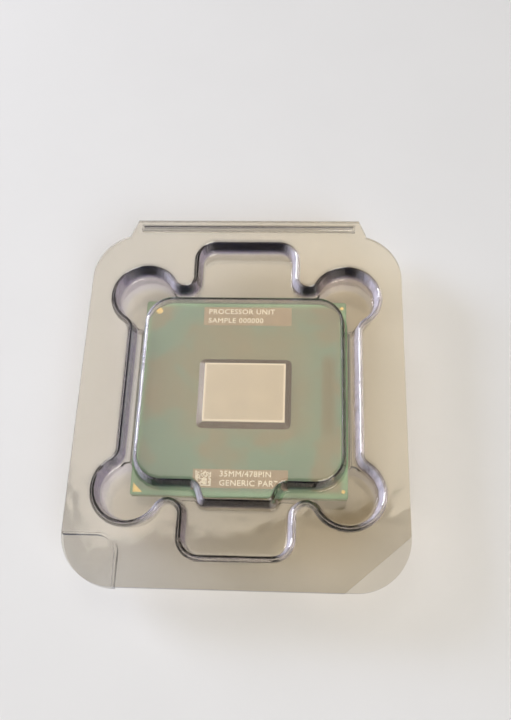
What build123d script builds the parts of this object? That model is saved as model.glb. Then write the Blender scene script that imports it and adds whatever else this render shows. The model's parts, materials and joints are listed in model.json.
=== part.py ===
from build123d import *
import os
from math import atan2, cos, degrees, radians, sqrt, tan

# All sizes are millimetres.  +Z is up, -Y is the opening edge, +Y is the fold.
# The origin is at the middle of the footprint, on the surface the tray stands on.

# ---------------------------------------------------------------- processor package
package_width = 35.0
package_depth = 35.0
package_corner_radius = 0.4
core_thickness = 0.8
buildup_thickness = 0.145
mask_thickness = 0.03
mask_edge_inset = 0.12

die_width = 13.7
die_depth = 10.5
die_thickness = 0.78
die_offset_x = 0.35
die_offset_y = 0.2
die_edge_chamfer = 0.06

bump_diameter = 0.2
bump_height = 0.08
bump_pitch = 1.6
bump_edge_margin = 0.5
underfill_reach = 1.0
underfill_climb = 0.5
underfill_crest_lap = 0.05
underfill_crest_radius = 0.04

pin_pitch = 1.27
pin_edge_margin = 1.6
empty_rows = 14
pin_diameter = 0.31
pin_length = 2.03
pin_tip_chamfer = 0.08
pin_head_diameter = 0.66
pin_head_thickness = 0.15

capacitor_length = 1.6
capacitor_width = 0.8
capacitor_height = 0.6
capacitor_terminal_length = 0.3
capacitor_pitch_x = 2.9
capacitor_pitch_y = 1.9
capacitor_columns = 5
capacitor_rows = 7

# ---------------------------------------------------------------- marks on the package
mark_thickness = 0.03
pin_one_leg = 1.55
pin_one_edge_gap = 0.45
gold_dot_diameter = 1.15
gold_dot_inset_x = 2.3
gold_dot_inset_y = 1.9
corner_dot_diameter = 0.6
corner_dot_inset_x = 0.75
corner_dot_inset_y = 1.15
back_panel_width = 15.3
back_panel_depth = 3.5
back_panel_x = 0.35
back_panel_inset = 2.85
front_panel_width = 15.4
front_panel_depth = 3.1
front_panel_x = 0.2
front_panel_inset = 2.95
code_block_size = 2.6
code_block_inset = 0.4
code_cells = 12
code_cell_fill = 0.8
code_column_step = 3
code_row_step = 5
code_cycle = 7
code_filled = 3

# ---------------------------------------------------------------- clear clamshell
sheet = 0.4
draft_angle = 10.0
wall_nest_gap = 0.15
flange_gap = 0.1
pin_tip_gap = 0.32
package_side_gap = 0.15
package_stand_up = 0.35
hold_down_gap = 0.15
shelf_width = 0.65
well_corner_radius = 1.5

rim_side = 4.1
rim_front = 5.1
rim_back = 1.5
flange_corner_radius = 8.5

recess_depth = 3.3
recess_side_gap = 1.7
recess_wall_fillet = 2.5
lobe_radius = 5.3
lobe_inset_x = 0.1
lobe_inset_y = 0.3
tab_lobe_gap = 3.6
tab_length = 10.0
tab_corner_radius = 3.0
land_tip_radius = 2.3

dome_side_inset = 0.7
dome_front_inset = 1.65
dome_back_inset = 0.9
dome_corner_radius = 4.5
nose_reach = 1.5
nose_side_gap = 1.8
nose_taper = 1.1
nose_root_radius = 1.7
nose_corner_radius = 0.8

lip_round = 0.7
floor_round = 0.35
floor_round_under = 0.7
well_foot_round = 0.6

thumb_step_drop = 1.2
thumb_step_width = 8.8
thumb_step_depth = 8.3
thumb_step_radius = 3.0
corner_cut_x = 10.1
corner_cut_y = 8.6
cut_overrun = 1.0

strip_reach = 2.9
strip_root_inset = 5.95
strip_root_overlap = 1.0
strip_end_taper = 1.15
strip_end_gap = 0.06
bead_setback = 1.45
bead_radius = 0.75
bead_end_gap = 0.7

# ---------------------------------------------------------------- heights that follow
package_thickness = core_thickness + 2 * buildup_thickness + 2 * mask_thickness
package_bottom = sheet + pin_tip_gap + pin_length
package_top = package_bottom + package_thickness
tray_recess_floor = package_top - package_stand_up
lid_floor_under = package_top + hold_down_gap
lid_floor_top = lid_floor_under + sheet
lid_top = lid_floor_top + recess_depth
lid_flange_under = lid_top - sheet
tray_top = lid_flange_under - flange_gap
tray_flange_under = tray_top - sheet

# ---------------------------------------------------------------- plan sizes that follow
slope = tan(radians(draft_angle))
wall = sheet / cos(radians(draft_angle))
tray_inside = wall + wall_nest_gap
recess_half_width = package_width / 2 + recess_side_gap
lobe_x = package_width / 2 - lobe_inset_x
lobe_y = package_depth / 2 - lobe_inset_y
tab_half_width = lobe_x - lobe_radius - tab_lobe_gap
tab_reach = package_depth / 2 + tab_length
flange_half_width = lobe_x + lobe_radius + rim_side
flange_front = tab_reach + rim_front
flange_back = tab_reach + rim_back
dome_half_width = package_width / 2 - dome_side_inset
dome_front = package_depth / 2 - dome_front_inset
dome_back = package_depth / 2 - dome_back_inset
nose_front = package_depth / 2 + nose_reach
nose_root_half_width = tab_half_width - nose_side_gap
nose_front_half_width = nose_root_half_width - nose_taper
strip_root_half_width = flange_half_width - strip_root_inset
strip_end_half_width = strip_root_half_width - strip_end_taper
bead_half_length = strip_end_half_width - bead_end_gap
strip_back = flange_back + strip_reach - strip_end_gap
package_y = (flange_front - strip_back) / 2
well_width = package_width - 2 * shelf_width
well_depth = package_depth - 2 * shelf_width
pin_columns = int((package_width - 2 * pin_edge_margin) / pin_pitch) + 1
pin_rows = int((package_depth - 2 * pin_edge_margin) / pin_pitch) + 1
pin_span_x = (pin_columns - 1) * pin_pitch
pin_span_y = (pin_rows - 1) * pin_pitch
empty_half = empty_rows * pin_pitch / 2
pocket_width = package_width + 2 * package_side_gap
pocket_depth = package_depth + 2 * package_side_gap


def slab(width, depth, bottom, thickness, radius=0.0):
    """Flat plate centred on the package axis, with rounded plan corners."""
    outline = RectangleRounded(width, depth, radius) if radius else Rectangle(width, depth)
    return extrude(Pos(0, 0, bottom) * outline, thickness)


def lobed_outline(grow):
    """Plan of the cross-shaped recess with its four finger lobes, grown by a distance."""
    fillet_x = recess_half_width + recess_wall_fillet
    fillet_y = lobe_y - sqrt((lobe_radius + recess_wall_fillet) ** 2 - (fillet_x - lobe_x) ** 2)
    tip_x = tab_half_width + land_tip_radius
    tip_y = lobe_y + sqrt((lobe_radius + land_tip_radius) ** 2 - (tip_x - lobe_x) ** 2)
    to_fillet = degrees(atan2(fillet_y - lobe_y, fillet_x - lobe_x))
    to_tip = degrees(atan2(tip_y - lobe_y, tip_x - lobe_x))
    corner_x = tab_half_width - tab_corner_radius
    corner_y = tab_reach - tab_corner_radius
    quarter = [
        Line((recess_half_width + grow, 0), (recess_half_width + grow, fillet_y)),
        CenterArc((fillet_x, fillet_y), recess_wall_fillet - grow, 180, to_fillet),
        CenterArc((lobe_x, lobe_y), lobe_radius + grow, to_fillet, to_tip - to_fillet),
        CenterArc((tip_x, tip_y), land_tip_radius - grow, to_tip + 180, -to_tip),
        Line((tab_half_width + grow, tip_y), (tab_half_width + grow, corner_y)),
        CenterArc((corner_x, corner_y), tab_corner_radius + grow, 0, 90),
        Line((corner_x, tab_reach + grow), (0, tab_reach + grow)),
    ]
    half = quarter + [edge.mirror(Plane.YZ) for edge in quarter]
    return Face(Wire(half + [edge.mirror(Plane.XZ) for edge in half]))


def lobed_solid(offset, bottom, top):
    """Drafted recess volume; offset is taken from the lid's own inner face."""
    lower = Pos(0, 0, bottom) * lobed_outline(offset - slope * (lid_top - bottom))
    upper = Pos(0, 0, top) * lobed_outline(offset - slope * (lid_top - top))
    return loft([lower, upper], ruled=True)


def corner_pair(plan, x, y):
    """The two mirrored corners of a plan that lie nearest to a place."""
    return [plan.vertices().sort_by_distance((side, y))[0] for side in (-x, x)]


def window_outline(grow):
    """Plan of the raised window over the package and its nose, grown by a distance."""
    width = 2 * (dome_half_width + grow)
    depth = dome_front + dome_back + 2 * grow
    middle = (dome_back - dome_front) / 2
    plan = Pos(0, middle) * RectangleRounded(width, depth, dome_corner_radius + grow)
    root = nose_root_half_width + grow
    tip = nose_front_half_width + grow
    step = -dome_front - grow
    front = -nose_front - grow
    corners = [(-root, 0), (-root, step), (-tip, front), (tip, front), (root, step), (root, 0)]
    plan = plan + make_face(Polyline(*corners, close=True))
    plan = fillet(corner_pair(plan, root, step), nose_root_radius - grow)
    return fillet(corner_pair(plan, tip, front), nose_corner_radius + grow)


def dome_solid(offset, bottom, top):
    """Drafted volume of the raised window, wider towards its foot."""
    lower = Pos(0, 0, bottom) * window_outline(offset + slope * (lid_top - bottom))
    upper = Pos(0, 0, top) * window_outline(offset + slope * (lid_top - top))
    return loft([lower, upper], ruled=True)


def fold_strip(bottom, bead_up):
    """Strip behind the rim that carries the fold, with its hollow stiffening bead."""
    root = flange_back - strip_root_overlap
    corners = [
        (-strip_root_half_width, root),
        (-strip_root_half_width, flange_back),
        (-strip_end_half_width, strip_back),
        (strip_end_half_width, strip_back),
        (strip_root_half_width, flange_back),
        (strip_root_half_width, root),
    ]
    plan = make_face(Polyline(*corners, close=True))
    plate = extrude(Pos(0, 0, bottom) * plan, sheet)
    centre_z = bottom if bead_up else bottom + sheet
    side = 1 if bead_up else -1
    lying = Pos(0, strip_back - bead_setback, centre_z) * Rot(0, 90, 0)
    bead = lying * Cylinder(bead_radius, 2 * bead_half_length)
    hollow = lying * Cylinder(bead_radius - sheet, 2 * (bead_half_length - sheet))
    keep = Box(2 * flange_half_width, 4 * bead_radius, 2 * bead_radius)
    keep = Pos(0, strip_back - bead_setback, centre_z + side * bead_radius) * keep
    return plate + (bead & keep) - hollow


def level_edges(shape, z):
    """Edges that lie flat at one height, leaving out those of the outer rim."""
    hair = 0.001
    chosen = []
    for edge in shape.edges():
        box = edge.bounding_box()
        flat = abs(box.min.Z - z) < hair and abs(box.max.Z - z) < hair
        inside_x = max(-box.min.X, box.max.X) < flange_half_width - hair
        inside_y = max(-box.min.Y, box.max.Y) < flange_back - hair
        if flat and inside_x and inside_y:
            chosen.append(edge)
    return chosen


def rim_solid(bottom, height):
    """Solid with the plan of the rim."""
    middle = (flange_back - flange_front) / 2
    depth = flange_front + flange_back
    plan = RectangleRounded(2 * flange_half_width, depth, flange_corner_radius)
    return extrude(Pos(0, middle, bottom) * plan, height)


def make_lid():
    """Upper half: rim, lobed recess that nests in the tray, window over the package."""
    shell = rim_solid(lid_flange_under, sheet) + fold_strip(lid_flange_under, bead_up=True)
    shell = shell + lobed_solid(wall, lid_floor_under, lid_top)
    shell = shell - lobed_solid(0, lid_floor_top, lid_top)
    shell = shell + dome_solid(0, lid_floor_under, lid_top)
    shell = shell - dome_solid(-wall, lid_floor_under - sheet, lid_flange_under)
    shell = fillet(level_edges(shell, lid_top), lip_round)
    shell = fillet(level_edges(shell, lid_flange_under), lip_round - sheet)
    shell = fillet(level_edges(shell, lid_floor_top), floor_round)
    return fillet(level_edges(shell, lid_floor_under), floor_round_under)


def well_solid(grow, bottom):
    """Drafted pin well with the four finger wells that run into it."""
    drop = 2 * slope * (package_bottom - bottom)
    width = well_width + 2 * grow
    depth = well_depth + 2 * grow
    radius = well_corner_radius + grow
    lower = Pos(0, 0, bottom) * RectangleRounded(width - drop, depth - drop, radius)
    upper = Pos(0, 0, package_bottom) * RectangleRounded(width, depth, radius)
    solid = loft([lower, upper], ruled=True)
    height = tray_recess_floor - bottom
    lower_radius = lobe_radius + tray_inside + grow - slope * (lid_top - bottom)
    upper_radius = lower_radius + slope * height
    finger = Cone(lower_radius, upper_radius, height)
    for x in (-lobe_x, lobe_x):
        for y in (-lobe_y, lobe_y):
            solid = solid + Pos(x, y, bottom + height / 2) * finger
    return solid


def thumb_step():
    """Corner of the rim stepped down, so that a thumb can reach under the lid."""
    left = -flange_half_width - cut_overrun
    front = -flange_front - cut_overrun
    right = -flange_half_width + thumb_step_width
    back = -flange_front + thumb_step_depth
    corners = [(left, front), (right, front), (right, back), (left, back)]
    plan = make_face(Polyline(*corners, close=True))
    plan = fillet(plan.vertices().sort_by_distance((right, back))[0], thumb_step_radius)
    floor_under = tray_flange_under - thumb_step_drop
    height = tray_top - floor_under
    space = extrude(Pos(0, 0, floor_under) * plan, height)
    inner = extrude(Pos(-sheet, -sheet, floor_under + sheet) * plan, height)
    return space, (space & rim_solid(floor_under, height)) - inner


def rim_corner_cut():
    """Front right corner of the tray's rim, cut away so that the lid's corner stands alone."""
    side = flange_half_width
    front = -flange_front
    corners = [
        (side, front + corner_cut_y),
        (side + cut_overrun, front + corner_cut_y),
        (side + cut_overrun, front - cut_overrun),
        (side - corner_cut_x, front - cut_overrun),
        (side - corner_cut_x, front),
    ]
    plan = make_face(Polyline(*corners, close=True))
    return extrude(Pos(0, 0, tray_flange_under - sheet) * plan, 3 * sheet)


def make_tray():
    """Lower half: rim, lobed recess, pocket for the package and well for its pins."""
    pocket_height = tray_recess_floor - package_bottom
    shell = rim_solid(tray_flange_under, sheet) + fold_strip(tray_flange_under, bead_up=False)
    shell = shell + lobed_solid(tray_inside + wall, tray_recess_floor - sheet, tray_top)
    shell = shell + slab(pocket_width + 2 * sheet, pocket_depth + 2 * sheet,
                         package_bottom - sheet, pocket_height)
    shell = shell + well_solid(wall, 0.0)
    shell = shell - lobed_solid(tray_inside, tray_recess_floor, tray_top)
    shell = shell - slab(pocket_width, pocket_depth, package_bottom, pocket_height)
    shell = shell - well_solid(0, sheet)
    shell = fillet(level_edges(shell, tray_top), lip_round)
    shell = fillet(level_edges(shell, tray_recess_floor), floor_round)
    shell = fillet(level_edges(shell, tray_flange_under), lip_round - sheet)
    shell = fillet(level_edges(shell, 0.0), well_foot_round)
    space, step = thumb_step()
    return shell - space + step - rim_corner_cut()


def package_layers():
    """Laminate of the package, from the pin side up."""
    z = package_bottom
    layers = {}
    inset = 2 * mask_edge_inset
    stack = [
        ("solder_mask_bottom", inset, mask_thickness),
        ("buildup_bottom", 0.0, buildup_thickness),
        ("substrate_core", 0.0, core_thickness),
        ("buildup_top", 0.0, buildup_thickness),
        ("solder_mask_top", inset, mask_thickness),
    ]
    for name, smaller, thickness in stack:
        layers[name] = slab(package_width - smaller, package_depth - smaller,
                            z, thickness, package_corner_radius)
        z += thickness
    window = slab(die_width, die_depth, package_top - mask_thickness, mask_thickness)
    layers["solder_mask_top"] -= Pos(die_offset_x, die_offset_y) * window
    return layers


def make_die():
    """Bare silicon chip with a fine chamfer round its top."""
    bottom = package_top - mask_thickness + bump_height
    die = Pos(die_offset_x, die_offset_y) * slab(die_width, die_depth, bottom, die_thickness)
    return chamfer(die.faces().sort_by(Axis.Z)[-1].edges(), die_edge_chamfer)


def make_bumps():
    """Solder bumps that join the chip to the laminate."""
    across = int((die_width - 2 * bump_edge_margin) / bump_pitch) + 1
    deep = int((die_depth - 2 * bump_edge_margin) / bump_pitch) + 1
    middle_z = package_top - mask_thickness + bump_height / 2
    centre = Pos(die_offset_x, die_offset_y, middle_z)
    spots = GridLocations(bump_pitch, bump_pitch, across, deep)
    return [centre * spot * Cylinder(bump_diameter / 2, bump_height) for spot in spots]


def make_underfill(die, bumps):
    """Resin under the chip, with the fillet that climbs its sides."""
    foot_width = die_width + 2 * underfill_reach
    foot_depth = die_depth + 2 * underfill_reach
    foot = Pos(0, 0, package_top) * RectangleRounded(foot_width, foot_depth, underfill_reach)
    rise = Pos(0, 0, package_top + underfill_climb)
    crest_width = die_width + 2 * underfill_crest_lap
    crest_depth = die_depth + 2 * underfill_crest_lap
    crest = rise * RectangleRounded(crest_width, crest_depth, underfill_crest_radius)
    resin = loft([foot, crest], ruled=True)
    resin += slab(die_width, die_depth, package_top - mask_thickness, mask_thickness)
    resin = Pos(die_offset_x, die_offset_y) * resin - die
    return resin - bumps


def pin_spots():
    """Every occupied pin position: full grid, empty middle, two keys missing."""
    spots = []
    front = -pin_span_y / 2 + pin_pitch / 2
    left = -pin_span_x / 2 + pin_pitch / 2
    for location in GridLocations(pin_pitch, pin_pitch, pin_columns, pin_rows):
        x, y = location.position.X, location.position.Y
        in_middle = abs(x) < empty_half and abs(y) < empty_half
        is_key = y < front and x < left + pin_pitch
        if not in_middle and not is_key:
            spots.append((x, y))
    return spots


def make_pins():
    """Contact pins with flat heads, standing down from the pin side."""
    head = Cylinder(pin_head_diameter / 2, pin_head_thickness)
    head = Pos(0, 0, package_bottom - pin_head_thickness / 2) * head
    shank_length = pin_length - pin_head_thickness
    shank = Cylinder(pin_diameter / 2, shank_length)
    shank = Pos(0, 0, package_bottom - pin_head_thickness - shank_length / 2) * shank
    tip = shank.faces().sort_by(Axis.Z)[0]
    pin = head + chamfer(tip.edges(), pin_tip_chamfer)
    return [Pos(x, y, 0) * pin for x, y in pin_spots()]


def make_capacitors():
    """Ceramic capacitors in the empty middle of the pin side."""
    bodies = []
    terminals = []
    body_length = capacitor_length - 2 * capacitor_terminal_length
    z = package_bottom - capacitor_height / 2
    grid = GridLocations(capacitor_pitch_x, capacitor_pitch_y, capacitor_columns, capacitor_rows)
    for location in grid:
        place = Pos(0, 0, z) * location
        bodies.append(place * Box(body_length, capacitor_width, capacitor_height))
        reach = (capacitor_length - capacitor_terminal_length) / 2
        for x in (-reach, reach):
            end = Box(capacitor_terminal_length, capacitor_width, capacitor_height)
            terminals.append(place * Pos(x, 0, 0) * end)
    return bodies, terminals


def make_marks():
    """Gold and printed marks on top of the package."""
    marks = {}
    left = -package_width / 2 + pin_one_edge_gap
    front = -package_depth / 2 + pin_one_edge_gap
    corners = [(left, front), (left + pin_one_leg, front), (left, front + pin_one_leg)]
    triangle = Pos(0, 0, package_top) * make_face(Polyline(*corners, close=True))
    marks["pin_one_mark"] = extrude(triangle, mark_thickness)
    lift = package_top + mark_thickness / 2
    dot = Cylinder(gold_dot_diameter / 2, mark_thickness)
    dot_x = -package_width / 2 + gold_dot_inset_x
    dot_y = package_depth / 2 - gold_dot_inset_y
    marks["gold_fiducial"] = Pos(dot_x, dot_y, lift) * dot
    small = Cylinder(corner_dot_diameter / 2, mark_thickness)
    small_x = package_width / 2 - corner_dot_inset_x
    small_y = package_depth / 2 - corner_dot_inset_y
    marks["corner_dots"] = [Pos(small_x, y, lift) * small for y in (-small_y, small_y)]
    back = Box(back_panel_width, back_panel_depth, mark_thickness)
    back_y = package_depth / 2 - back_panel_inset
    marks["marking_panel_back"] = Pos(back_panel_x, back_y, lift) * back
    front = Box(front_panel_width, front_panel_depth, mark_thickness)
    front_y = -package_depth / 2 + front_panel_inset
    marks["marking_panel_front"] = Pos(front_panel_x, front_y, lift) * front
    marks["code_block"] = code_block(front_y)
    return marks


def code_block(middle_y):
    """Square block of small cells: two solid edges and an arbitrary filling."""
    panel_left = front_panel_x - front_panel_width / 2
    middle_x = panel_left + code_block_inset + code_block_size / 2
    pitch = code_block_size / code_cells
    cell = Box(pitch * code_cell_fill, pitch * code_cell_fill, mark_thickness)
    z = package_top + mark_thickness + mark_thickness / 2
    first = -code_block_size / 2 + pitch / 2
    cells = []
    for column in range(code_cells):
        for row in range(code_cells):
            on_edge = column == 0 or row == 0
            turn = code_column_step * column + code_row_step * row + column * row
            filled = turn % code_cycle < code_filled
            if on_edge or filled:
                x = middle_x + first + column * pitch
                y = middle_y + first + row * pitch
                cells.append(Pos(x, y, z) * cell)
    return cells


def save(name, shape):
    """Write one node, moved from the package axis to the middle of the footprint."""
    solids = list(shape) if isinstance(shape, (list, tuple)) else [shape]
    place = Pos(0, package_y, 0)
    placed = [place * solid for solid in solids]
    node = placed[0] if len(placed) == 1 else Compound(children=placed)
    export_step(node, f"parts/{name}.step")


def main():
    os.makedirs("parts", exist_ok=True)
    save("tray_shell", make_tray())
    save("lid_shell", make_lid())
    for name, layer in package_layers().items():
        save(name, layer)
    die = make_die()
    bumps = make_bumps()
    save("die", die)
    save("solder_bumps", bumps)
    save("underfill", make_underfill(die, bumps))
    save("contact_pins", make_pins())
    bodies, terminals = make_capacitors()
    save("capacitor_bodies", bodies)
    save("capacitor_terminals", terminals)
    for name, mark in make_marks().items():
        save(name, mark)


main()
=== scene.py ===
import json
import math

import bpy
from bpy.props import FloatProperty, FloatVectorProperty, IntProperty, PointerProperty, StringProperty
from mathutils import Matrix, Vector


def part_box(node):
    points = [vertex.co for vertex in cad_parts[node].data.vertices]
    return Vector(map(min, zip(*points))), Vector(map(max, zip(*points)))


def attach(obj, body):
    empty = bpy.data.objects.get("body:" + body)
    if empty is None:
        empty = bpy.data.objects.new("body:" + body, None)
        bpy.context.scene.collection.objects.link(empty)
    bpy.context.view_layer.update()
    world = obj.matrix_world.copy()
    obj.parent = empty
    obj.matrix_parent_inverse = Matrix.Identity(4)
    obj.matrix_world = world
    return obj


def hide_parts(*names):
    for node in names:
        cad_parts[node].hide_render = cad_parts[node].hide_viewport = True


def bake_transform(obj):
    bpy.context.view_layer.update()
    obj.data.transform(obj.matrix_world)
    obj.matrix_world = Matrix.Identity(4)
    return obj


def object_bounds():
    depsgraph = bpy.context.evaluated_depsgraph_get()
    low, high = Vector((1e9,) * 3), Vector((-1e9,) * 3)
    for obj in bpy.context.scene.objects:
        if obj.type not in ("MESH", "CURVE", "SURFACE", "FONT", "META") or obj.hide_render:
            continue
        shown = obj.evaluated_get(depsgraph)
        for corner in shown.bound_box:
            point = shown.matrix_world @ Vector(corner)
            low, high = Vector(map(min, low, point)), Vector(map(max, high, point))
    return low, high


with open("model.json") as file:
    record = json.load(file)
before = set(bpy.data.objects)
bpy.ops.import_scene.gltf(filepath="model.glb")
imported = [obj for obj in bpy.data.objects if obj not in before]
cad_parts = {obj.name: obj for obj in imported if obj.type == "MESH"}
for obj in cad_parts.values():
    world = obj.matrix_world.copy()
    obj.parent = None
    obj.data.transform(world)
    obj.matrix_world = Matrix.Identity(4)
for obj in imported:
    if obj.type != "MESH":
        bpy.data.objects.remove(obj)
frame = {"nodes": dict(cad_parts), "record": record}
CAD_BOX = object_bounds()

bl_info = {
    "name": "Processor in clear clamshell",
    "version": (1, 0, 0),
    "blender": (4, 5, 0),
    "location": "View3D > Sidebar > Processor",
    "description": "Finishes a pin-grid processor and its hinged clear case",
    "category": "Object",
}

MM = 0.001
# These face attributes place painted light on the clear sheet: painted shade on upright walls, darker
# painted shade on walls that look to the front, and painted milky highlights on walls that look to the
# left.
WALL_ATTRIBUTE = "wall"      # 0 on a flat, 1 on an upright wall
FRONT_SHADE_ATTRIBUTE = "front_shade"      # 1 on an upright wall that looks to the front
HIGHLIGHT_ATTRIBUTE = "pale"      # 1 on an upright wall that looks to the left
MERGE_DISTANCE = 1e-7        # vertices closer than this are one
TIP_DEPTH = 0.01 * MM        # vertices this near the lowest one are on a pin's tip
FONT_OVER_CAPITAL = 1.4      # font size over the height of its capitals
SENSOR_WIDTH = 36.0          # camera sensor, in millimetres
NEAR_CLIP = 5 * MM           # nearest thing the camera sees
SKY_STOPS = (0.12, 0.75)     # heights on the surround where its two colours begin
FOLD = frame["record"]["behaviour"]["joints"][0]["pos_m"]
MASK_LOW, MASK_HIGH = (Vector(corner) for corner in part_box("solder_mask_top"))
DIE_LOW, DIE_HIGH = (Vector(corner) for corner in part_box("die"))
LAMINATE_LOW, LAMINATE_HIGH = (Vector(corner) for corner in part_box("substrate_core"))
PACKAGE_CENTRE = (MASK_LOW + MASK_HIGH) / 2
PACKAGE_TOP = MASK_HIGH.z
DIE_CENTRE = (DIE_LOW + DIE_HIGH) / 2

# Tones of the mask, as ranges of x and y from the package's centre
WARM_PATCH = ((-10.5 * MM, 11.5 * MM), (-7.5 * MM, 12.5 * MM))
PAD_STRIP = ((13.4 * MM, 15.4 * MM), (-6.8 * MM, 7.0 * MM))
INNER_FIELD = ((-16.6 * MM, 16.6 * MM), (-16.6 * MM, 16.6 * MM))
CORE_PLIES = 9
BUILDUP_PLIES = 30


# ------------------------------------------------------------------ settings

def colour(name, description, default):
    """A colour setting."""
    return FloatVectorProperty(name=name, description=description, default=default,
                               subtype="COLOR", size=3, min=0.0, max=1.0)


def length(name, description, default):
    """A length setting, in metres."""
    return FloatProperty(name=name, description=description, default=default,
                         unit="LENGTH", subtype="DISTANCE", min=0.0, precision=5)


class SheetSettings(bpy.types.PropertyGroup):
    """Clear formed sheet of the tray and the lid."""
    # The sheet tint is partly the sheet's own colour and partly painted light: its warm beige, and its
    # change from greyer at the left to warmer at the right, copy the light on the case.
    tint: colour("Sheet tint", "Colour the clear sheet passes at the left", (0.810, 0.790, 0.752))
    warm_tint: colour("Warm tint", "Colour the clear sheet passes at the right", (0.830, 0.796, 0.726))
    # The two wall tints paint shade onto the upright walls of the lid and the tray.
    wall_shade_tint: colour("Side wall tint", "Colour the lid's thinned side walls pass", (0.50, 0.46, 0.58))
    tray_wall_shade_tint: colour("Tray side wall tint", "Colour the tray's thinned side walls pass",
                           (0.74, 0.71, 0.80))
    # Dark painted shade on the upper part of walls that look to the front.
    front_shade_tint: colour("Deep wall tint", "Colour the walls that look to the front pass",
                      (0.022, 0.030, 0.070))
    # Painted milky highlight on the upper part of walls that look to the left; the milkiness sets how
    # strongly it shows.
    highlight_tint: colour("Pale wall tint", "Milky stretch marks on walls that look left", (0.86, 0.86, 0.98))
    milky_highlight: FloatProperty(name="Milkiness", description="How opaque the stretch marks are",
                        default=0.40, min=0.0, max=1.0, subtype="FACTOR")
    # Height above which the walls' painted shade and painted highlights start.
    painted_light_from: length("Dark from", "Height where the dark upper part of a wall starts", 0.0051)
    gloss: FloatProperty(name="Roughness", description="Roughness of the clear sheet",
                         default=0.035, min=0.0, max=1.0, subtype="FACTOR")
    ripple: length("Ripple depth", "Depth of the forming ripples", 0.00006)
    warp: length("Warp depth", "Depth of the slow waves left by forming", 0.00022)
    sliver: length("Sliver", "Edges shorter than this are collapsed", 0.00003)
    flat_angle: FloatProperty(name="Flat angle", description="Faces that bend less than this are merged",
                              default=math.radians(1.0), subtype="ANGLE", unit="ROTATION")
    sheet_thickness: length("Sheet thickness", "Thickness of the formed sheet", 0.0004)
    smooth_angle: FloatProperty(name="Smooth angle", description="Edges flatter than this are smooth",
                                default=math.radians(32), subtype="ANGLE", unit="ROTATION")
    film_thickness: length("Film thickness", "Thickness of the bent film at the fold", 0.00016)
    film_steps: IntProperty(name="Film steps", description="Segments round the fold",
                            default=14, min=4)


class PackageSettings(bpy.types.PropertyGroup):
    """Laminate, chip, pins and capacitors."""
    mask: colour("Mask", "Green film over the laminate", (0.165, 0.262, 0.180))
    mask_edge: colour("Mask edge", "Film near the sawn edges", (0.215, 0.390, 0.235))
    mask_warm: colour("Warm tone", "Copper showing through the film", (0.270, 0.225, 0.130))
    mask_strip: colour("Strip tone", "Strip of covered pads at the right", (0.155, 0.150, 0.075))
    laminate: colour("Laminate", "Sawn edge of the laminate", (0.30, 0.36, 0.17))
    silicon: colour("Silicon", "Ground back of the chip", (0.66, 0.575, 0.455))
    silicon_rim: colour("Silicon rim", "Sawn rim of the chip", (0.90, 0.82, 0.70))
    resin: colour("Resin", "Underfill round the chip", (0.080, 0.044, 0.020))
    gold: colour("Gold", "Plating on pins and marks", (1.00, 0.77, 0.32))
    solder: colour("Solder", "Tin on bumps, collars and terminals", (0.66, 0.66, 0.64))
    ceramic: colour("Ceramic", "Capacitor bodies", (0.27, 0.17, 0.10))
    die_rim: length("Die rim", "Width of the paler sawn rim of the chip", 0.00032)
    pin_pitch: length("Pin pitch", "Distance from pin to pin", 0.00127)
    collar_height: length("Collar height", "Height of a solder collar", 0.00012)
    collar_reach: length("Collar reach", "How far a collar spreads past the pin head", 0.00009)
    head_radius: length("Pin head radius", "Radius of a pin's flat head", 0.00033)
    collar_wall: length("Collar wall", "Thickness of a collar's wall", 0.00005)
    collar_fit: FloatProperty(name="Collar fit", description="Collar's inner radius over the pin head's",
                              default=1.04, min=1.0)
    collar_smooth: FloatProperty(name="Collar smooth angle",
                                 description="Edges flatter than this are smooth",
                                 default=math.radians(40), subtype="ANGLE", unit="ROTATION")
    collar_sides: IntProperty(name="Collar sides", description="Sides of one collar",
                              default=12, min=6)


class MarkSettings(bpy.types.PropertyGroup):
    """Printed panels and their generic lettering."""
    panel: colour("Panel", "Taupe printed panel", (0.420, 0.315, 0.205))
    ink: colour("Lettering", "Cream lettering", (0.92, 0.86, 0.70))
    code_columns: IntProperty(name="Code columns", description="Cells across the code block",
                              default=12, min=4)
    code_share: FloatProperty(name="Code share", description="Share of the cells that are printed",
                              default=0.45, min=0.0, max=1.0, subtype="FACTOR")
    back_first: StringProperty(name="Back first row", description="Generic words",
                               default="PROCESSOR UNIT")
    back_second: StringProperty(name="Back second row", description="Generic words",
                                default="SAMPLE 000000")
    front_first: StringProperty(name="Front first row", description="Generic words",
                                default="35MM/478PIN")
    front_second: StringProperty(name="Front second row", description="Generic words",
                                 default="GENERIC PART")
    letter_height: length("Letter height", "Height of a capital", 0.00096)
    letter_spacing: FloatProperty(name="Letter spacing", description="Spacing between letters",
                                  default=1.08, min=0.5, max=2.0)
    back_inset: length("Back inset", "From the back panel's left end to its lettering", 0.0008)
    front_inset: length("Front inset", "From the front panel's left end to its lettering", 0.0043)
    letter_weight: FloatProperty(name="Letter weight", description="Added stroke over letter height",
                                 default=0.02, min=0.0)
    row_offset: FloatProperty(name="Row offset", description="Middle to row, over the panel's depth",
                              default=0.245, min=0.0)
    code_depth: FloatProperty(name="Code strength", description="How strongly the flush cells print",
                              default=0.85, min=0.0, max=1.0, subtype="FACTOR")
    scan_pitch: length("Scan pitch", "Distance between the panel's scan lines", 0.00012)
    letter_thickness: length("Letter thickness", "Height of the ink", 0.00001)


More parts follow.
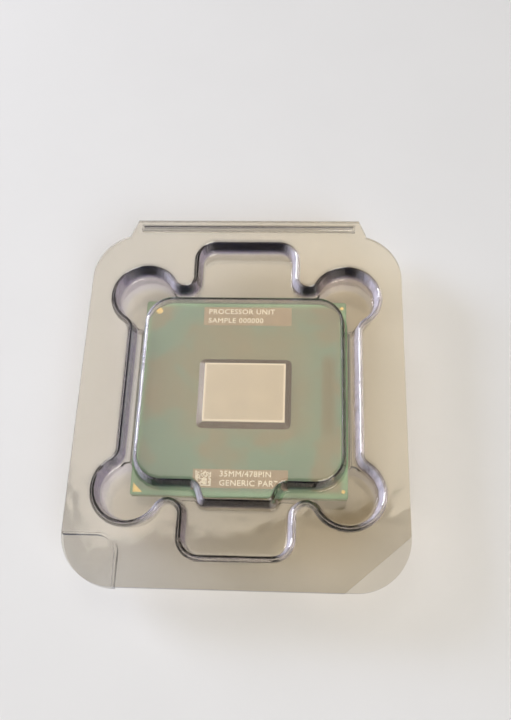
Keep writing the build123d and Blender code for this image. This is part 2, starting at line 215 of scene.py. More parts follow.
class StageSettings(bpy.types.PropertyGroup):
    """Floor, lights and camera."""
    floor: colour("Floor", "Pale floor", (0.78, 0.775, 0.76))
    floor_size: length("Floor size", "Side of the square floor", 3.0)
    floor_drop: length("Floor drop", "Gap between the part and the floor", 0.00002)
    sky_low: colour("Low surround", "Surround near the floor", (0.035, 0.038, 0.060))
    sky_high: colour("High surround", "Surround overhead", (0.26, 0.255, 0.24))
    azimuth: FloatProperty(name="Azimuth", description="Camera direction round the part",
                           default=math.radians(7.772), subtype="ANGLE", unit="ROTATION")
    elevation: FloatProperty(name="Elevation", description="Camera height angle",
                             default=math.radians(66.149), subtype="ANGLE", unit="ROTATION")
    roll: FloatProperty(name="Roll", description="Camera roll about its view",
                        default=math.radians(-6.367), subtype="ANGLE", unit="ROTATION")
    distance: length("Distance", "Camera to its target", 0.145344)
    lens: FloatProperty(name="Lens", description="Focal length on a 36 mm sensor",
                        default=42.5, unit="CAMERA", min=1.0)
    aim_x: FloatProperty(name="Aim X", description="Target right of the package", default=0.001976,
                         unit="LENGTH")
    aim_y: FloatProperty(name="Aim Y", description="Target behind the package", default=0.006456,
                         unit="LENGTH")


SETTINGS = {
    "cpu_sheet": SheetSettings,
    "cpu_package": PackageSettings,
    "cpu_marks": MarkSettings,
    "cpu_stage": StageSettings,
}


# ------------------------------------------------------------------ node helpers

class Shader:
    """Small helper that adds and links nodes of one material."""

    def __init__(self, name):
        self.material = bpy.data.materials.new(name)
        self.material.use_nodes = True
        self.tree = self.material.node_tree
        self.tree.nodes.clear()
        self.output = self.node("ShaderNodeOutputMaterial")
        coords = self.node("ShaderNodeTexCoord")
        self.position = coords.outputs["Object"]

    def node(self, kind, **values):
        """Add a node; a key names an input, and a value is a number, colour or socket."""
        made = self.tree.nodes.new(kind)
        for key, value in values.items():
            target = made.inputs[key.replace("_", " ")]
            if isinstance(value, bpy.types.NodeSocket):
                self.tree.links.new(value, target)
            else:
                target.default_value = value
        return made

    def link(self, source, target):
        """Join an output socket to an input socket."""
        self.tree.links.new(source, target)

    def mapped(self, centre=(0, 0, 0), scale=(1, 1, 1), turn=0.0):
        """Object coordinates about a centre, scaled and turned about Z."""
        shift = self.node("ShaderNodeVectorMath", Vector=self.position)
        shift.operation = "SUBTRACT"
        shift.inputs[1].default_value = centre
        mapping = self.node("ShaderNodeMapping", Vector=shift.outputs[0])
        mapping.inputs["Rotation"].default_value = (0, 0, turn)
        mapping.inputs["Scale"].default_value = scale
        return mapping.outputs[0]

    def noise(self, scale, detail=4.0, vector=None, distortion=0.0):
        """Noise whose features are 1/scale metres across."""
        made = self.node("ShaderNodeTexNoise", Vector=vector or self.position,
                         Scale=scale, Detail=detail, Distortion=distortion)
        return made.outputs["Fac"]

    def shader_mix(self, factor, first, second):
        """Mix two shaders."""
        made = self.tree.nodes.new("ShaderNodeMixShader")
        self.link(factor, made.inputs[0])
        self.link(first.outputs[0], made.inputs[1])
        self.link(second.outputs[0], made.inputs[2])
        return made

    def attribute(self, name):
        """A number stored on the piece's faces."""
        made = self.node("ShaderNodeAttribute")
        made.attribute_name = name
        return made.outputs["Fac"]

    def ramp(self, value, *stops):
        """Colour ramp; each stop is a position and a grey level or a colour."""
        made = self.node("ShaderNodeValToRGB", Fac=value)
        elements = made.color_ramp.elements
        while len(elements) < len(stops):
            elements.new(0.5)
        for element, (position, level) in zip(elements, stops):
            element.position = position
            rgb = (level,) * 3 if isinstance(level, float) else tuple(level)[:3]
            element.color = (*rgb, 1.0)
        return made.outputs["Color"]

    def mix(self, factor, first, second, mode="MIX"):
        """Mix two colours."""
        made = self.tree.nodes.new("ShaderNodeMix")
        made.data_type = "RGBA"
        made.blend_type = mode
        for socket, value in ((made.inputs[0], factor), (made.inputs[6], first), (made.inputs[7], second)):
            if isinstance(value, bpy.types.NodeSocket):
                self.link(value, socket)
            elif isinstance(value, (int, float)):
                socket.default_value = value
            else:
                socket.default_value = (*tuple(value)[:3], 1.0)
        return made.outputs[2]

    def math(self, operation, first, second=0.0):
        """One arithmetic step on two values."""
        made = self.tree.nodes.new("ShaderNodeMath")
        made.operation = operation
        for socket, value in zip(made.inputs, (first, second)):
            if isinstance(value, bpy.types.NodeSocket):
                self.link(value, socket)
            else:
                socket.default_value = value
        return made.outputs[0]

    def axes(self, centre=(0, 0, 0)):
        """Separate X, Y and Z about a centre."""
        split = self.node("ShaderNodeSeparateXYZ", Vector=self.mapped(centre))
        return split.outputs[0], split.outputs[1], split.outputs[2]

    def rise(self, value, level, soft):
        """0 below a level and 1 above it, with a soft edge."""
        made = self.node("ShaderNodeMapRange", Value=value)
        made.interpolation_type = "SMOOTHSTEP"
        made.inputs["From Min"].default_value = level - soft
        made.inputs["From Max"].default_value = level + soft
        return made.outputs[0]

    def band(self, value, limits, soft):
        """1 between two limits, falling to 0 over a soft edge."""
        low, high = limits
        past = self.rise(value, high, soft)
        return self.math("MULTIPLY", self.rise(value, low, soft), self.math("SUBTRACT", 1.0, past))

    def patch(self, x, y, ranges, soft_x, soft_y):
        """1 inside a rectangle given as ranges of x and y."""
        return self.math("MULTIPLY", self.band(x, ranges[0], soft_x), self.band(y, ranges[1], soft_y))

    def bump(self, height, depth, strength=1.0):
        """Bump from a 0-1 height that stands depth metres tall."""
        made = self.node("ShaderNodeBump", Height=height, Distance=depth, Strength=strength)
        return made.outputs[0]

    def surface(self, base, roughness, normal=None, metallic=0.0, **values):
        """Principled shader joined to the output."""
        shader = self.node("ShaderNodeBsdfPrincipled", **values)
        for socket, value in (("Base Color", base), ("Roughness", roughness), ("Metallic", metallic)):
            if isinstance(value, bpy.types.NodeSocket):
                self.link(value, shader.inputs[socket])
            elif isinstance(value, (int, float)):
                shader.inputs[socket].default_value = value
            else:
                shader.inputs[socket].default_value = (*tuple(value)[:3], 1.0)
        if normal is not None:
            self.link(normal, shader.inputs["Normal"])
        self.link(shader.outputs[0], self.output.inputs["Surface"])
        return shader


# ------------------------------------------------------------------ finishes

def clear_sheet_finish(settings, name, wall_shade_tint):
    """Clear formed sheet: slow warp and fine ripples, with painted light: a tint greyer at the left and
    warmer at the right, painted shade on upright walls, darker painted shade on walls that look to the
    front, and painted milky highlights on walls that look to the left.
    """
    finish = Shader(name)
    steep = finish.attribute(WALL_ATTRIBUTE)
    front_shade = finish.attribute(FRONT_SHADE_ATTRIBUTE)
    pale = finish.attribute(HIGHLIGHT_ATTRIBUTE)
    x, _, height = finish.axes()
    upper = finish.rise(height, settings.painted_light_from, 0.35 * MM)
    case_width = CAD_BOX[1][0] - CAD_BOX[0][0]
    # Painted light across the case: the tint drifts from greyer at the left to warmer at the right.
    across = finish.math("ADD", finish.math("MULTIPLY", x, 1 / case_width), 0.25)
    across = finish.math("ADD", across, finish.math("MULTIPLY", finish.noise(55.0, 2.0), 0.5))
    plain = finish.ramp(across, (0.2, settings.tint), (0.8, settings.warm_tint))
    # Painted shade on upright walls, broken by upright streaks.
    drawn_out = finish.mapped(scale=(1, 1, 0.15))
    streaks = finish.ramp(finish.noise(900.0, 3.0, drawn_out), (0.35, 0.60), (0.7, 1.0))
    wall_shade = finish.math("MULTIPLY", finish.ramp(steep, (0.55, 0.0), (0.83, 1.0)), streaks)
    base = finish.mix(wall_shade, plain, wall_shade_tint)
    # Dark painted shade on the upper part of walls that look to the front.
    shade = finish.math("MULTIPLY", finish.ramp(front_shade, (0.42, 0.0), (0.85, 1.0)), upper)
    base = finish.mix(shade, base, settings.front_shade_tint)
    # Painted milky highlight on the upper part of walls that look to the left.
    marks = finish.math("MULTIPLY", finish.ramp(pale, (0.20, 0.0), (0.70, 1.0)),
                        finish.math("MULTIPLY", streaks, upper))
    haze = finish.ramp(finish.noise(420.0, 5.0), (0.45, settings.gloss), (0.8, settings.gloss + 0.05))
    normal = finish.bump(finish.noise(130.0, 2.0, distortion=0.4), settings.ripple)
    slow = finish.node("ShaderNodeBump", Height=finish.noise(38.0, 1.0), Distance=settings.warp,
                       Normal=normal)
    shader = finish.surface(base, haze, slow.outputs[0], IOR=1.57, Transmission_Weight=1.0)
    # A diffuse milky layer carries the painted highlight.
    milky_highlight = finish.node("ShaderNodeBsdfDiffuse", Color=(*settings.highlight_tint, 1.0))
    marked = finish.shader_mix(finish.math("MULTIPLY", marks, settings.milky_highlight), shader, milky_highlight)
    passing = finish.node("ShaderNodeBsdfTransparent", Color=plain)
    rays = finish.node("ShaderNodeLightPath")
    both = finish.shader_mix(rays.outputs["Is Shadow Ray"], marked, passing)
    finish.link(both.outputs[0], finish.output.inputs["Surface"])
    return finish.material


def mask_finish(settings):
    """Green film over copper: warm round the chip and in one strip, fresher at the edges."""
    finish = Shader("solder_mask")
    x, y, _ = finish.axes(PACKAGE_CENTRE)
    cloud = finish.ramp(finish.noise(170.0, 5.0), (0.35, 0.0), (0.7, 1.0))
    patches = finish.noise(105.0, 4.0, finish.mapped((0.013, 0.004, 0.0)), 0.6)
    olive = finish.ramp(patches, (0.46, 0.0), (0.58, 0.85))
    around = finish.patch(x, y, WARM_PATCH, 3.5 * MM, 3.0 * MM)
    strip = finish.patch(x, y, PAD_STRIP, 0.8 * MM, 1.5 * MM)
    warm = finish.math("MAXIMUM", finish.math("MULTIPLY", around, 0.78), strip)
    warm = finish.math("MAXIMUM", warm, olive)
    warm = finish.math("MULTIPLY", warm, finish.math("ADD", finish.math("MULTIPLY", cloud, 0.4), 0.7))
    base = finish.mix(warm, settings.mask, settings.mask_warm)
    base = finish.mix(finish.math("MULTIPLY", strip, 0.75), base, settings.mask_strip)
    inner = finish.patch(x, y, INNER_FIELD, 0.6 * MM, 0.6 * MM)
    base = finish.mix(finish.math("SUBTRACT", 1.0, inner), base, settings.mask_edge)
    traces = finish.node("ShaderNodeTexBrick", Vector=finish.mapped(PACKAGE_CENTRE, turn=math.radians(45)))
    traces.inputs["Scale"].default_value = 900.0
    traces.inputs["Mortar Size"].default_value = 0.035
    traces.inputs["Brick Width"].default_value = 3.2
    traces.inputs["Row Height"].default_value = 0.35
    base = finish.mix(finish.math("MULTIPLY", traces.outputs["Fac"], 0.16), base, settings.mask_warm)
    speckle = finish.ramp(finish.noise(5200.0, 3.0), (0.3, 0.93), (0.7, 1.0))
    base = finish.mix(1.0, base, speckle, "MULTIPLY")
    relief = finish.math("MULTIPLY", traces.outputs["Fac"], 0.6)
    height = finish.math("ADD", relief, finish.noise(2600.0, 4.0))
    rough = finish.ramp(finish.noise(900.0, 4.0), (0.3, 0.30), (0.7, 0.46))
    finish.surface(base, rough, finish.bump(height, 0.000012), Coat_Weight=0.35, Coat_Roughness=0.18)
    return finish.material


def laminate_finish(name, base_colour, layers):
    """Sawn edge of woven laminate: thin plies along Z, fibres along the edge."""
    finish = Shader(name)
    _, _, z = finish.axes(LAMINATE_LOW)
    turns = layers * 2 * math.pi / (LAMINATE_HIGH.z - LAMINATE_LOW.z)
    plies = finish.math("SINE", finish.math("MULTIPLY", z, turns))
    plies = finish.ramp(plies, (0.2, 0.72), (0.8, 1.0))
    fibres = finish.ramp(finish.noise(1500.0, 6.0, finish.mapped(scale=(1, 1, 7))),
                         (0.3, 0.75), (0.75, 1.05))
    base = finish.mix(1.0, finish.mix(1.0, base_colour, plies, "MULTIPLY"), fibres, "MULTIPLY")
    rough = finish.ramp(finish.noise(2200.0, 3.0), (0.3, 0.55), (0.7, 0.8))
    finish.surface(base, rough, finish.bump(finish.noise(4200.0, 5.0), 0.00002))
    return finish.material


def silicon_finish(settings):
    """Ground silicon: satin, fine grinding arcs, paler at the sawn rim."""
    finish = Shader("silicon")
    x, y, _ = finish.axes(DIE_CENTRE)
    reach = (DIE_HIGH - DIE_LOW) / 2 - Vector((settings.die_rim, settings.die_rim, 0))
    inside = finish.patch(x, y, ((-reach.x, reach.x), (-reach.y, reach.y)), 0.08 * MM, 0.08 * MM)
    arcs = finish.node("ShaderNodeTexWave", Vector=finish.mapped(DIE_CENTRE + Vector((0.06, 0.03, 0))))
    arcs.wave_type = "RINGS"
    arcs.rings_direction = "Z"
    arcs.inputs["Scale"].default_value = 1500.0
    arcs.inputs["Distortion"].default_value = 2.0
    arcs.inputs["Detail"].default_value = 3.0
    grind = arcs.outputs["Fac"]
    tone = finish.ramp(finish.noise(260.0, 3.0), (0.3, 0.9), (0.7, 1.0))
    base = finish.mix(1.0, settings.silicon, tone, "MULTIPLY")
    base = finish.mix(finish.math("SUBTRACT", 1.0, inside), base, settings.silicon_rim)
    rough = finish.ramp(grind, (0.0, 0.34), (1.0, 0.44))
    finish.surface(base, rough, finish.bump(grind, 0.000004), metallic=0.45)
    return finish.material


def resin_finish(settings):
    """Cured resin: dark, slightly uneven, soft shine."""
    finish = Shader("underfill_resin")
    tone = finish.ramp(finish.noise(700.0, 5.0), (0.3, 0.8), (0.7, 1.15))
    base = finish.mix(1.0, settings.resin, tone, "MULTIPLY")
    rough = finish.ramp(finish.noise(1200.0, 3.0), (0.3, 0.28), (0.7, 0.45))
    finish.surface(base, rough, finish.bump(finish.noise(1600.0, 4.0), 0.00003))
    return finish.material


def metal_finish(name, base_colour, low, high, grain):
    """Plated metal with a fine uneven grain."""
    finish = Shader(name)
    tone = finish.ramp(finish.noise(grain, 4.0), (0.3, 0.86), (0.7, 1.0))
    base = finish.mix(1.0, base_colour, tone, "MULTIPLY")
    rough = finish.ramp(finish.noise(grain * 1.7, 3.0), (0.3, low), (0.7, high))
    finish.surface(base, rough, finish.bump(finish.noise(grain * 2.5, 3.0), 0.000006), metallic=1.0)
    return finish.material


def ceramic_finish(settings):
    """Fired ceramic with faint grain."""
    finish = Shader("capacitor_ceramic")
    tone = finish.ramp(finish.noise(6000.0, 5.0), (0.3, 0.8), (0.7, 1.1))
    base = finish.mix(1.0, settings.ceramic, tone, "MULTIPLY")
    rough = finish.ramp(finish.noise(3000.0, 3.0), (0.3, 0.45), (0.7, 0.65))
    finish.surface(base, rough, finish.bump(finish.noise(9000.0, 4.0), 0.000008))
    return finish.material


def code_cells(finish, settings):
    """Flush printed cells that fill in between the raised cells of the code block."""
    low, high = (Vector(corner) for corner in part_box("code_block"))
    cell = (high.x - low.x) / settings.code_columns
    snap = finish.node("ShaderNodeVectorMath", Vector=finish.mapped((low.x, low.y, low.z - cell)))
    snap.operation = "SNAP"
    snap.inputs[1].default_value = (cell, cell, 1.0)
    chance = finish.node("ShaderNodeTexWhiteNoise", Vector=snap.outputs[0])
    filled = finish.math("LESS_THAN", chance.outputs["Value"], settings.code_share)
    x, y, _ = finish.axes()
    inside = finish.patch(x, y, ((low.x, high.x), (low.y, high.y)), 0.02 * MM, 0.02 * MM)
    return finish.math("MULTIPLY", inside, filled)


def panel_finish(settings):
    """Laser-whitened panel: close scan lines over a mottled taupe."""
    finish = Shader("marking_panel")
    _, y, _ = finish.axes(PACKAGE_CENTRE)
    turns = finish.math("MULTIPLY", y, 2 * math.pi / settings.scan_pitch)
    lines = finish.ramp(finish.math("SINE", turns), (0.2, 0.88), (0.8, 1.0))
    mottle = finish.ramp(finish.noise(800.0, 5.0), (0.3, 0.86), (0.7, 1.08))
    base = finish.mix(1.0, finish.mix(1.0, settings.panel, lines, "MULTIPLY"), mottle, "MULTIPLY")
    printed = finish.math("MULTIPLY", code_cells(finish, settings), settings.code_depth)
    base = finish.mix(printed, base, settings.ink)
    rough = finish.ramp(finish.noise(2500.0, 3.0), (0.3, 0.5), (0.7, 0.68))
    finish.surface(base, rough, finish.bump(lines, 0.000005))
    return finish.material


def ink_finish(settings):
    """Cream lettering, slightly broken by the scan that made it."""
    finish = Shader("mark_ink")
    tone = finish.ramp(finish.noise(6500.0, 3.0), (0.35, 0.78), (0.65, 1.05))
    base = finish.mix(1.0, settings.ink, tone, "MULTIPLY")
    rough = finish.ramp(finish.noise(5000.0, 2.0), (0.3, 0.55), (0.7, 0.75))
    finish.surface(base, rough, finish.bump(finish.noise(8000.0, 3.0), 0.000004))
    return finish.material


def floor_finish(settings):
    """Plain pale paper sweep."""
    finish = Shader("pale_floor")
    tone = finish.ramp(finish.noise(60.0, 4.0), (0.3, 0.985), (0.7, 1.0))
    base = finish.mix(1.0, settings.floor, tone, "MULTIPLY")
    rough = finish.ramp(finish.noise(400.0, 3.0), (0.3, 0.72), (0.7, 0.82))
    finish.surface(base, rough, finish.bump(finish.noise(1800.0, 3.0), 0.00001))
    return finish.material


# ------------------------------------------------------------------ mesh helpers

def deselect():
    """Leave nothing selected."""
    bpy.ops.object.select_all(action="DESELECT")


def make_active(piece):
    """Select one piece alone and make it active."""
    deselect()
    piece.select_set(True)
    bpy.context.view_layer.objects.active = piece


def name_active(name):
    """Name the active object and its mesh."""
    piece = bpy.context.view_layer.objects.active
    piece.name = name
    piece.data.name = name
    return piece


def settle(piece):
    """Put the piece's place, turn and size into its mesh."""
    make_active(piece)
    bpy.ops.object.transform_apply(location=True, rotation=True, scale=True)


def select_vertices(piece, wanted):
    """Select only the vertices whose place is wanted, ready for edit mode."""
    mesh = piece.data
    for parts in (mesh.polygons, mesh.edges):
        parts.foreach_set("select", [False] * len(parts))
    mesh.vertices.foreach_set("select", [wanted(vertex.co) for vertex in mesh.vertices])


def require_faces(piece):
    """Stop with an error if a piece came out empty."""
    if not piece.data.polygons:
        raise RuntimeError(f"{piece.name} has no faces")


def apply_modifier(piece, kind, **values):
    """Add one modifier to the active piece and apply it."""
    bpy.ops.object.modifier_add(type=kind)
    modifier = piece.modifiers[-1]
    for key, value in values.items():
        setattr(modifier, key, value)
    bpy.ops.object.modifier_apply(modifier=modifier.name)


def join(pieces, name):
    """Join pieces into one named piece."""
    deselect()
    for piece in pieces:
        piece.select_set(True)
    bpy.context.view_layer.objects.active = pieces[0]
    bpy.ops.object.join()
    return name_active(name)


def paint(piece, material):
    """Give one material to every slot of a piece."""
    if not piece.material_slots:
        piece.data.materials.append(material)
    for slot in piece.material_slots:
        slot.material = material


def paint_nodes(material, *names):
    """Give one material to CAD nodes."""
    for name in names:
        paint(frame["nodes"][name], material)


def smooth_copy(node_name, piece_name, settings):
    """Merged copy of a CAD node: slivers collapsed, flat fans merged, rounds smoothed."""
    node = frame["nodes"][node_name]
    piece = bpy.data.objects.new(piece_name, node.data.copy())
    bpy.context.scene.collection.objects.link(piece)
    make_active(piece)
    bpy.ops.object.mode_set(mode="EDIT")
    bpy.ops.mesh.select_all(action="SELECT")
    bpy.ops.mesh.remove_doubles(threshold=MERGE_DISTANCE)
    bpy.ops.mesh.dissolve_degenerate(threshold=settings.sliver)
    bpy.ops.mesh.dissolve_limited(angle_limit=settings.flat_angle, use_dissolve_boundaries=False)
    bpy.ops.object.mode_set(mode="OBJECT")
    bpy.ops.object.shade_smooth_by_angle(angle=settings.smooth_angle)
    apply_modifier(piece, "WEIGHTED_NORMAL", keep_sharp=True)
    return piece


def mark_walls(piece):
    """Store on each face how steep it stands and which way the wall looks, seen from above; these place
    the sheet's painted shade and painted highlights.
    """
    mesh = piece.data
    steep, front_shade, pale = (mesh.attributes.new(name, "FLOAT", "FACE")
                         for name in (WALL_ATTRIBUTE, FRONT_SHADE_ATTRIBUTE, HIGHLIGHT_ATTRIBUTE))
    for index, face in enumerate(mesh.polygons):
        normal = -face.normal if face.normal.z < 0 else face.normal
        upright = 1.0 - normal.z
        steep.data[index].value = upright
        front_shade.data[index].value = upright * max(0.0, -normal.y)
        pale.data[index].value = upright * max(0.0, -normal.x)


# ------------------------------------------------------------------ operators

class CPU_OT_clear_case(bpy.types.Operator):
    """Make the clear tray and lid from their CAD shells"""
    bl_idname = "cpu.clear_case"
    bl_label = "Clear case"

    def execute(self, context):
        settings = context.scene.cpu_sheet
        # Each body's wall tint is painted shade on its upright walls.
        for body, wall_shade_tint in (("tray", settings.tray_wall_shade_tint), ("lid", settings.wall_shade_tint)):
            node = f"{body}_shell"
            piece = smooth_copy(node, f"{body}_clear_sheet", settings)
            mark_walls(piece)
            require_faces(piece)
            piece.data.materials.clear()
            paint(piece, clear_sheet_finish(settings, f"clear_sheet_{body}", wall_shade_tint))
            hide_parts(node)
            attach(piece, body)
        return {"FINISHED"}


class CPU_OT_fold_film(bpy.types.Operator):
    """Bend the thin film that joins the tray to the lid at the back"""
    bl_idname = "cpu.fold_film"
    bl_label = "Fold film"

    def execute(self, context):
        settings = context.scene.cpu_sheet
        tray_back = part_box("tray_shell")[1][1]
        low_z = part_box("tray_shell")[1][2] - settings.sheet_thickness / 2
        high_z = 2 * FOLD[2] - low_z
        radius = (high_z - low_z) / 2
        edge_start = tray_back - settings.sheet_thickness / 4
        half_width = max(vertex.co.x for vertex in frame["nodes"]["tray_shell"].data.vertices
                         if vertex.co.y > edge_start)
        deselect()
        bpy.ops.mesh.primitive_plane_add(size=2 * half_width,
                                         location=(0, tray_back - half_width, low_z))
        piece = name_active("fold_film")
        settle(piece)
        select_vertices(piece, lambda place: place.y < tray_back - half_width)
        bpy.ops.object.mode_set(mode="EDIT")
        bpy.ops.mesh.delete(type="VERT")
        bpy.ops.mesh.select_all(action="SELECT")
        bpy.ops.mesh.spin(steps=settings.film_steps, angle=math.pi,
                          center=(0, tray_back, low_z + radius), axis=(-1, 0, 0))
        bpy.ops.mesh.select_all(action="SELECT")
        bpy.ops.mesh.remove_doubles(threshold=MERGE_DISTANCE)
        bpy.ops.mesh.normals_make_consistent(inside=False)
        bpy.ops.object.mode_set(mode="OBJECT")
        settle(piece)
        apply_modifier(piece, "SOLIDIFY", thickness=settings.film_thickness, offset=0.0)
        bpy.ops.object.shade_smooth_by_angle(angle=settings.smooth_angle)
        mark_walls(piece)
        require_faces(piece)
        paint(piece, bpy.data.materials["clear_sheet_lid"])
        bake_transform(piece)
        return {"FINISHED"}


class CPU_OT_package(bpy.types.Operator):
    """Finish the laminate, chip, resin, pins, capacitors and gold marks"""
    bl_idname = "cpu.package"
    bl_label = "Package finishes"

    def execute(self, context):
        settings = context.scene.cpu_package
        paint_nodes(mask_finish(settings), "solder_mask_top", "solder_mask_bottom")
        paint_nodes(laminate_finish("laminate_core", settings.laminate, CORE_PLIES), "substrate_core")
        paint_nodes(laminate_finish("laminate_buildup", settings.mask_edge, BUILDUP_PLIES),
                    "buildup_top", "buildup_bottom")
        paint_nodes(silicon_finish(settings), "die")
        paint_nodes(resin_finish(settings), "underfill")
        paint_nodes(metal_finish("gold_plate", settings.gold, 0.18, 0.34, 3000.0),
                    "contact_pins", "pin_one_mark", "gold_fiducial", "corner_dots")
        paint_nodes(metal_finish("tin_solder", settings.solder, 0.25, 0.45, 4000.0),
                    "solder_bumps", "capacitor_terminals")
        paint_nodes(ceramic_finish(settings), "capacitor_bodies")
        return {"FINISHED"}


class CPU_OT_solder_collars(bpy.types.Operator):
    """Model one solder collar and copy it round every pin head"""
    bl_idname = "cpu.solder_collars"
    bl_label = "Solder collars"

    def execute(self, context):
        settings = context.scene.cpu_package
        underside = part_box("solder_mask_bottom")[0][2]
        deselect()
        bpy.ops.mesh.primitive_cone_add(
            vertices=settings.collar_sides, radius1=settings.head_radius * settings.collar_fit,
            radius2=settings.head_radius + settings.collar_reach, depth=settings.collar_height,
            end_fill_type="NOTHING", location=(0, 0, underside - settings.collar_height / 2))
        pattern = name_active("solder_collar")
        settle(pattern)
        bpy.ops.object.mode_set(mode="EDIT")
        bpy.ops.mesh.select_all(action="SELECT")
        bpy.ops.mesh.normals_make_consistent(inside=False)
        bpy.ops.object.mode_set(mode="OBJECT")
        apply_modifier(pattern, "SOLIDIFY", thickness=settings.collar_wall, offset=1.0)
        copies = []
        for x, y in pin_places(settings.pin_pitch):
            copy = bpy.data.objects.new("solder_collar", pattern.data.copy())
            copy.location = (x, y, 0)
            context.scene.collection.objects.link(copy)
            copies.append(copy)
        bpy.data.objects.remove(pattern)
        piece = join(copies, "solder_collars")
        settle(piece)
        bpy.ops.object.shade_smooth_by_angle(angle=settings.collar_smooth)
        require_faces(piece)
        paint(piece, bpy.data.materials["tin_solder"])
        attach(piece, "tray")
        return {"FINISHED"}


def pin_places(pitch):
    """Middle of every pin, read from the pins' own mesh."""
    low, high = (Vector(corner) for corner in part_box("contact_pins"))
    middle = (low + high) / 2
    found = set()
    for vertex in frame["nodes"]["contact_pins"].data.vertices:
        if vertex.co.z < low.z + TIP_DEPTH:
            column = round((vertex.co.x - middle.x) / pitch - 0.5)
            row = round((vertex.co.y - middle.y) / pitch - 0.5)
            found.add((column, row))
    return [(middle.x + (column + 0.5) * pitch, middle.y + (row + 0.5) * pitch)
            for column, row in sorted(found)]


class CPU_OT_marks(bpy.types.Operator):
    """Finish the printed panels and set their generic lettering"""
    bl_idname = "cpu.marks"
    bl_label = "Marks"

    def execute(self, context):
        settings = context.scene.cpu_marks
        ink = ink_finish(settings)
        paint_nodes(panel_finish(settings), "marking_panel_back", "marking_panel_front")
        paint_nodes(ink, "code_block")
        rows = (
            ("lettering_back", "marking_panel_back", settings.back_inset,
             (settings.back_first, settings.back_second)),
            ("lettering_front", "marking_panel_front", settings.front_inset,
             (settings.front_first, settings.front_second)),
        )
        for name, panel, inset, words in rows:
            self.letter(context, name, panel, inset, words, ink)
        return {"FINISHED"}

    def letter(self, context, name, panel, inset, words, ink):
        """Two rows of lettering that start at one inset on a panel."""
        settings = context.scene.cpu_marks
        low, high = (Vector(corner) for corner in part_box(panel))
        middle = (low + high) / 2
        gap = (high.y - low.y) * settings.row_offset
        pieces = []
        for row, text in enumerate(words):
            deselect()
            bpy.ops.object.text_add(location=(0, 0, 0))
            piece = context.view_layer.objects.active
            piece.data.body = text
            piece.data.align_x = "LEFT"
            piece.data.align_y = "CENTER"
            piece.data.size = settings.letter_height * FONT_OVER_CAPITAL
            piece.data.space_character = settings.letter_spacing
            piece.data.extrude = settings.letter_thickness / 2
            piece.data.offset = settings.letter_height * settings.letter_weight
            piece.data.resolution_u = 3
            bpy.ops.object.convert(target="MESH")
            piece = context.view_layer.objects.active
            y = middle.y + (gap if row == 0 else -gap)
            piece.location = (low.x + inset, y, high.z + settings.letter_thickness / 2)
            settle(piece)
            pieces.append(piece)
        piece = join(pieces, name)
        require_faces(piece)
        paint(piece, ink)
        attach(piece, "tray")


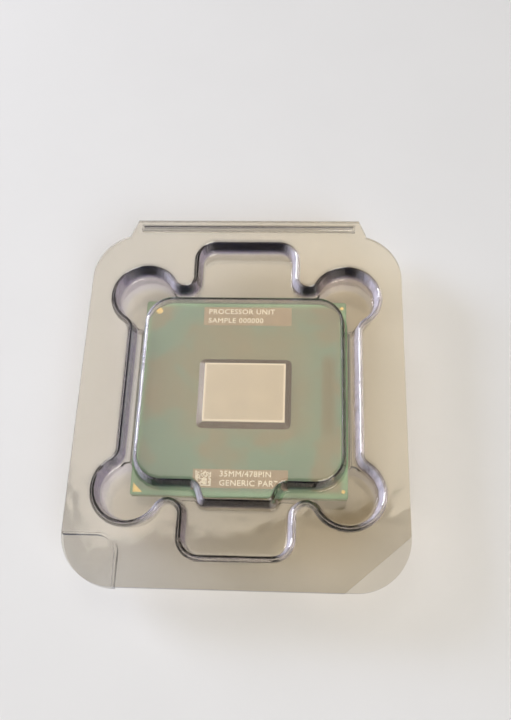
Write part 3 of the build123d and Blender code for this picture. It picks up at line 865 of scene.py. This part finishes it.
class CPU_OT_stage(bpy.types.Operator):
    """Lay the pale floor and set the soft lights and the camera"""
    bl_idname = "cpu.stage"
    bl_label = "Stage"

    def execute(self, context):
        settings = context.scene.cpu_stage
        deselect()
        bpy.ops.mesh.primitive_plane_add(size=settings.floor_size, location=(0, 0, -settings.floor_drop))
        floor = name_active("floor")
        paint(floor, floor_finish(settings))
        context.scene.view_settings.view_transform = "Standard"
        self.sky(context, settings)
        # name, place, side, power and colour of each square lamp
        lamps = (
            ("key", (-0.06, 0.37, 0.77), 0.45, 0.95, (1.0, 0.93, 0.82)),
            ("front", (0.35, -0.55, 0.55), 0.55, 4.6, (1.0, 0.98, 0.96)),
            ("window", (-0.55, 0.26, 0.24), 0.24, 4.2, (0.86, 0.88, 1.0)),
        )
        for name, place, size, power, tint in lamps:
            deselect()
            bpy.ops.object.light_add(type="AREA", location=place)
            lamp = context.view_layer.objects.active
            lamp.name = name
            lamp.data.shape = "SQUARE"
            lamp.data.size = size
            lamp.data.energy = power
            lamp.data.color = tint
            lamp.rotation_euler = (-Vector(place)).to_track_quat("-Z", "Y").to_euler()
        self.camera(context, settings)
        return {"FINISHED"}

    def sky(self, context, settings):
        """Soft surround: dark low down, pale overhead."""
        world = bpy.data.worlds.new("soft_surround")
        world.use_nodes = True
        tree = world.node_tree
        tree.nodes.clear()
        coords = tree.nodes.new("ShaderNodeTexCoord")
        split = tree.nodes.new("ShaderNodeSeparateXYZ")
        tree.links.new(coords.outputs["Generated"], split.inputs[0])
        ramp = tree.nodes.new("ShaderNodeValToRGB")
        low, high = ramp.color_ramp.elements
        low.position, high.position = SKY_STOPS
        low.color = (*settings.sky_low, 1.0)
        high.color = (*settings.sky_high, 1.0)
        tree.links.new(split.outputs[2], ramp.inputs[0])
        background = tree.nodes.new("ShaderNodeBackground")
        tree.links.new(ramp.outputs[0], background.inputs[0])
        output = tree.nodes.new("ShaderNodeOutputWorld")
        tree.links.new(background.outputs[0], output.inputs[0])
        context.scene.world = world

    def camera(self, context, settings):
        """Camera looking down at the package from the front."""
        azimuth, elevation, roll = settings.azimuth, settings.elevation, settings.roll
        back = Vector((math.sin(azimuth) * math.cos(elevation),
                       -math.cos(azimuth) * math.cos(elevation), math.sin(elevation)))
        right = Vector((math.cos(azimuth), math.sin(azimuth), 0))
        up = back.cross(right)
        across = right * math.cos(roll) + up * math.sin(roll)
        over = up * math.cos(roll) - right * math.sin(roll)
        aim = Vector((PACKAGE_CENTRE.x + settings.aim_x, PACKAGE_CENTRE.y + settings.aim_y, PACKAGE_TOP))
        deselect()
        bpy.ops.object.camera_add()
        camera = context.view_layer.objects.active
        camera.name = "camera"
        camera.data.lens = settings.lens
        camera.data.sensor_width = SENSOR_WIDTH
        camera.data.clip_start = NEAR_CLIP
        turn = Matrix((across, over, back)).transposed().to_4x4()
        camera.matrix_world = Matrix.Translation(aim + back * settings.distance) @ turn
        bpy.context.scene.camera = camera


# ------------------------------------------------------------------ panel and main

STEPS = (CPU_OT_clear_case, CPU_OT_fold_film, CPU_OT_package, CPU_OT_solder_collars,
         CPU_OT_marks, CPU_OT_stage)


class CPU_PT_panel(bpy.types.Panel):
    """Sidebar panel that lists the steps"""
    bl_idname = "CPU_PT_panel"
    bl_label = "Processor"
    bl_space_type = "VIEW_3D"
    bl_region_type = "UI"
    bl_category = "Processor"

    def draw(self, context):
        for step in STEPS:
            self.layout.operator(step.bl_idname, text=step.bl_label)


def register():
    for name, group in SETTINGS.items():
        bpy.utils.register_class(group)
        setattr(bpy.types.Scene, name, PointerProperty(type=group))
    for kind in (*STEPS, CPU_PT_panel):
        bpy.utils.register_class(kind)


def unregister():
    for kind in reversed((*STEPS, CPU_PT_panel)):
        bpy.utils.unregister_class(kind)
    for name, group in reversed(SETTINGS.items()):
        delattr(bpy.types.Scene, name)
        bpy.utils.unregister_class(group)


def main():
    register()
    bpy.ops.cpu.clear_case()
    bpy.ops.cpu.fold_film()
    bpy.ops.cpu.package()
    bpy.ops.cpu.solder_collars()
    bpy.ops.cpu.marks()
    bpy.ops.cpu.stage()


if __name__ == "__main__":
    main()
